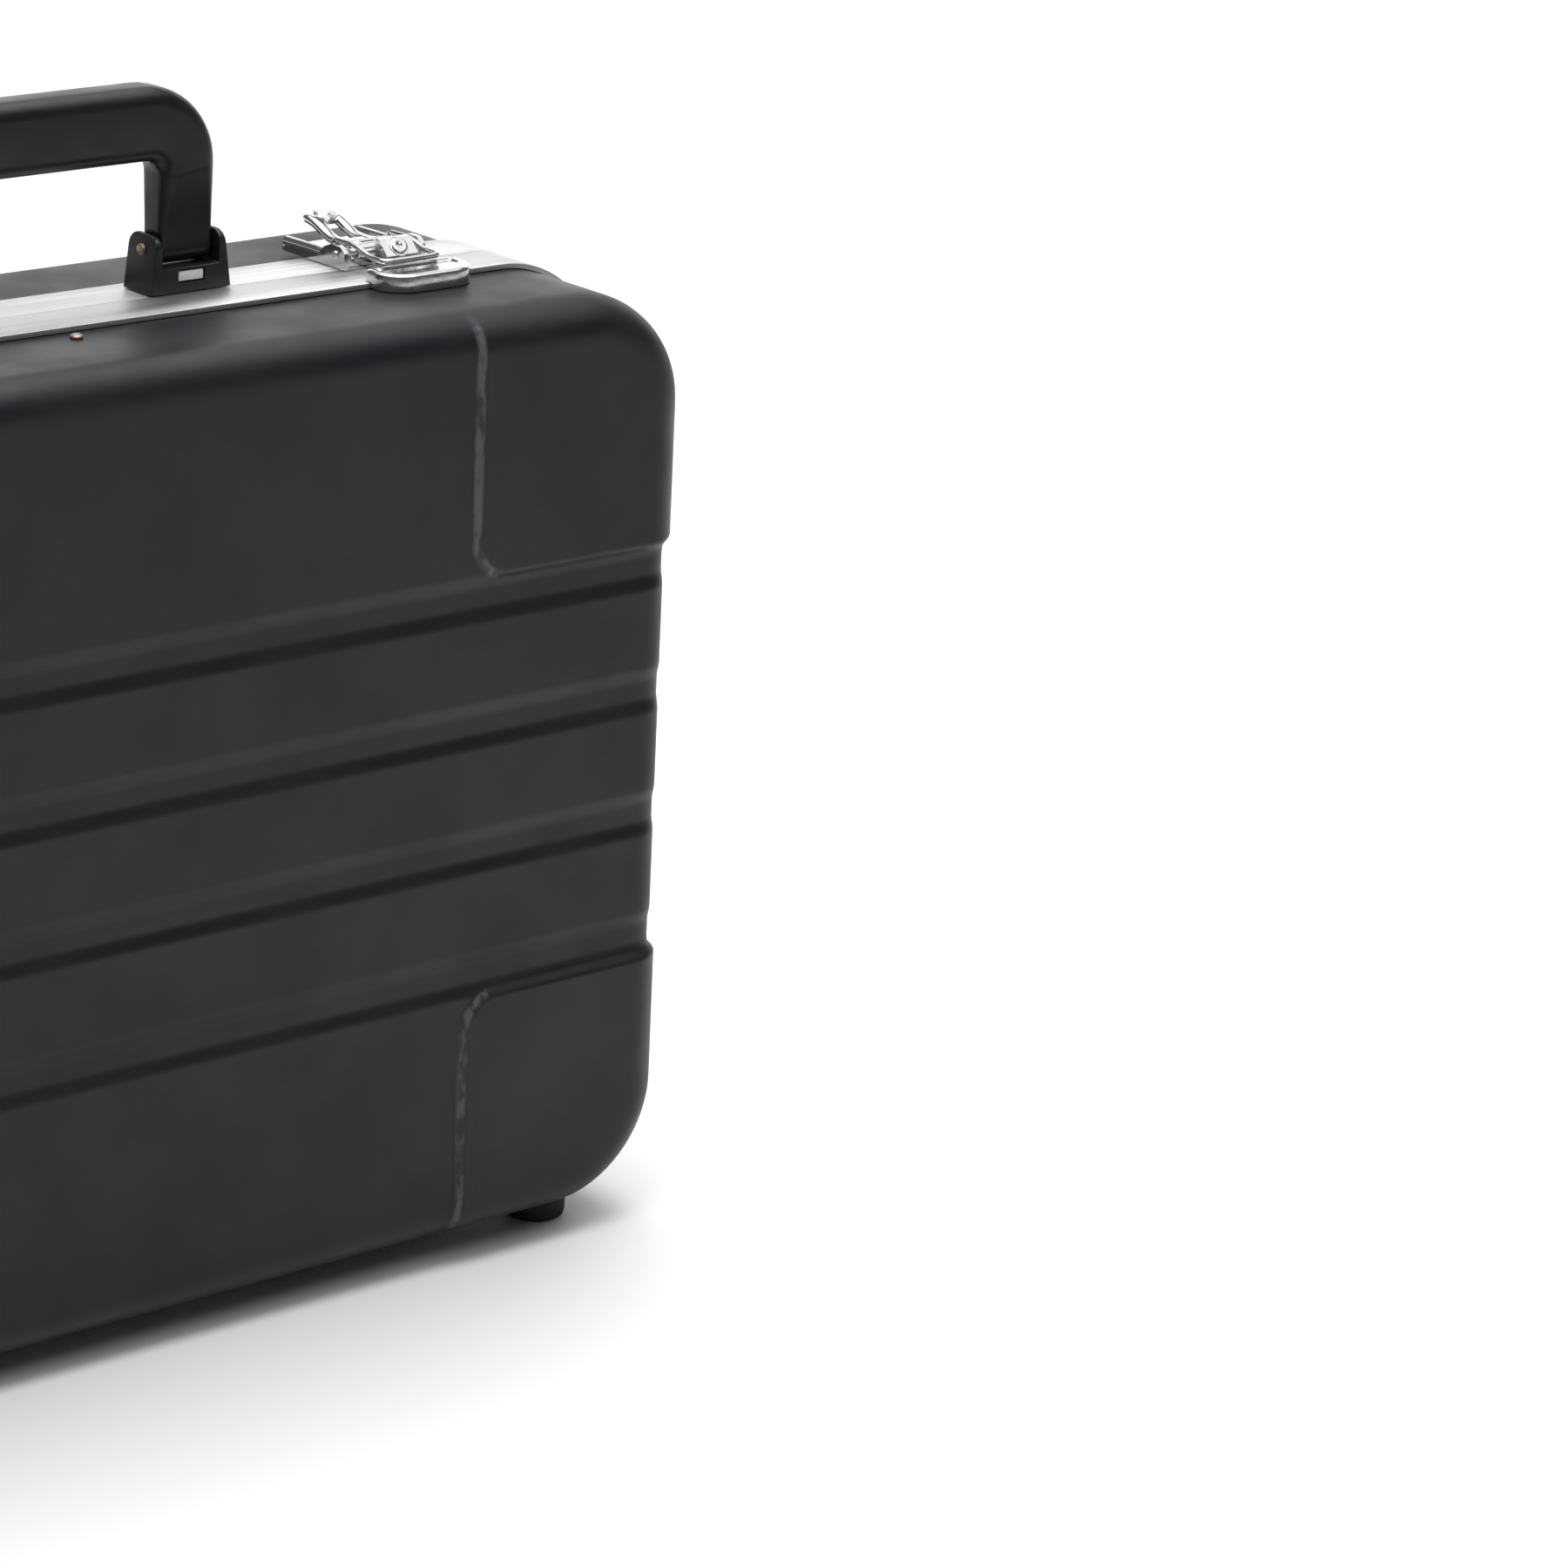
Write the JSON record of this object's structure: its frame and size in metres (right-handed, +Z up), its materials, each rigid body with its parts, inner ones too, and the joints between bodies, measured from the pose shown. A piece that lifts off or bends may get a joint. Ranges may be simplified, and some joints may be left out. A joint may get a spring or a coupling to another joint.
{
  "type": "tool case with tray",
  "caption": "Upright attache-style tool case: moulded lid and base, metal edge frames, folding handle, key-locking draw latches, and a compartment tray inside.",
  "frame": {"origin": "on the floor under the middle of the case, in the parting plane between lid and base", "axes": "+Z up as it stands on its feet, +X to the right of someone facing the lid, the lid faces -Y"},
  "size_m": [0.446, 0.144, 0.4118],
  "materials": {
    "moulded_shell": "fine-grained black moulded plastic, half gloss",
    "valance_metal": "brushed, natural",
    "handle_plastic": "black, smooth, half gloss",
    "bracket_plastic": "black, smooth",
    "latch_chrome": "bright plated",
    "plain_steel": "zinc plated",
    "rivet_metal": "warm coloured, dull",
    "foot_rubber": "black, matt",
    "tray_plastic": "dark grey, fine grain"
  },
  "bodies": {
    "case_base": {"back_shell": "moulded_shell", "back_valance": "valance_metal", "rivet_back": "rivet_metal", "tray_ledge_left": "valance_metal", "tray_ledge_right": "valance_metal", "handle_bracket_left": "bracket_plastic", "bracket_plate_left": "valance_metal", "handle_pin_left": "rivet_metal", "latch_base_left": "latch_chrome", "lever_pin_left": "plain_steel", "hinge_leaf_base_left": "plain_steel", "hinge_pin_left": "plain_steel", "foot_back_left": "foot_rubber", "foot_screw_back_left": "plain_steel", "handle_bracket_right": "bracket_plastic", "bracket_plate_right": "valance_metal", "handle_pin_right": "rivet_metal", "latch_base_right": "latch_chrome", "lever_pin_right": "plain_steel", "hinge_leaf_base_right": "plain_steel", "hinge_pin_right": "plain_steel", "foot_back_right": "foot_rubber", "foot_screw_back_right": "plain_steel"},
    "lid": {"front_shell": "moulded_shell", "front_valance": "valance_metal", "rivet_front": "rivet_metal", "latch_strike_left": "latch_chrome", "hinge_leaf_lid_left": "plain_steel", "foot_front_left": "foot_rubber", "foot_screw_front_left": "plain_steel", "latch_strike_right": "latch_chrome", "hinge_leaf_lid_right": "plain_steel", "foot_front_right": "foot_rubber", "foot_screw_front_right": "plain_steel"},
    "handle": {"handle": "handle_plastic"},
    "tray": {"tray_pan": "tray_plastic", "tray_long_divider": "tray_plastic", "tray_cross_divider_left": "tray_plastic", "tray_cross_divider_middle": "tray_plastic", "tray_cross_divider_right": "tray_plastic"},
    "lever_left": {"latch_lever_left": "latch_chrome"},
    "bail_left": {"latch_bail_left": "latch_chrome"},
    "key_left": {"key_cylinder_left": "latch_chrome"},
    "lever_right": {"latch_lever_right": "latch_chrome"},
    "bail_right": {"latch_bail_right": "latch_chrome"},
    "key_right": {"key_cylinder_right": "latch_chrome"}
  },
  "joints": [
    {"name": "lid_hinge", "type": "hinge", "parent": "case_base", "child": "lid", "pos_m": [0, 0, 0.0051], "axis": [1, 0, 0], "range_deg": [0, 95]},
    {"name": "handle_fold", "type": "hinge", "parent": "case_base", "child": "handle", "pos_m": [0, 0.0066, 0.3565], "axis": [1, 0, 0], "range_deg": [-90, 90]},
    {"name": "tray_lift", "type": "slide", "parent": "case_base", "child": "tray", "axis": [0, -1, 0], "range_m": [0, 0.05]},
    {"name": "lever_left_turn", "type": "hinge", "parent": "case_base", "child": "lever_left", "pos_m": [-0.141, 0.002, 0.347], "axis": [1, 0, 0], "range_deg": [0, 100]},
    {"name": "bail_left_turn", "type": "hinge", "parent": "lever_left", "child": "bail_left", "pos_m": [-0.141, 0.009, 0.348], "axis": [1, 0, 0], "range_deg": [-100, 0]},
    {"name": "key_left_turn", "type": "hinge", "parent": "case_base", "child": "key_left", "pos_m": [-0.141, -0.0105, 0.3505], "axis": [0, -0.7071, 0.7071], "range_deg": [0, 90]},
    {"name": "lever_right_turn", "type": "hinge", "parent": "case_base", "child": "lever_right", "pos_m": [0.141, 0.002, 0.347], "axis": [1, 0, 0], "range_deg": [0, 100]},
    {"name": "bail_right_turn", "type": "hinge", "parent": "lever_right", "child": "bail_right", "pos_m": [0.141, 0.009, 0.348], "axis": [1, 0, 0], "range_deg": [-100, 0]},
    {"name": "key_right_turn", "type": "hinge", "parent": "case_base", "child": "key_right", "pos_m": [0.141, -0.0105, 0.3505], "axis": [0, -0.7071, 0.7071], "range_deg": [0, 90]}
  ],
  "couplings": [
    {"joint": "bail_left_turn", "follows": "lever_left_turn", "ratio": -1},
    {"joint": "bail_right_turn", "follows": "lever_right_turn", "ratio": -1}
  ]
}
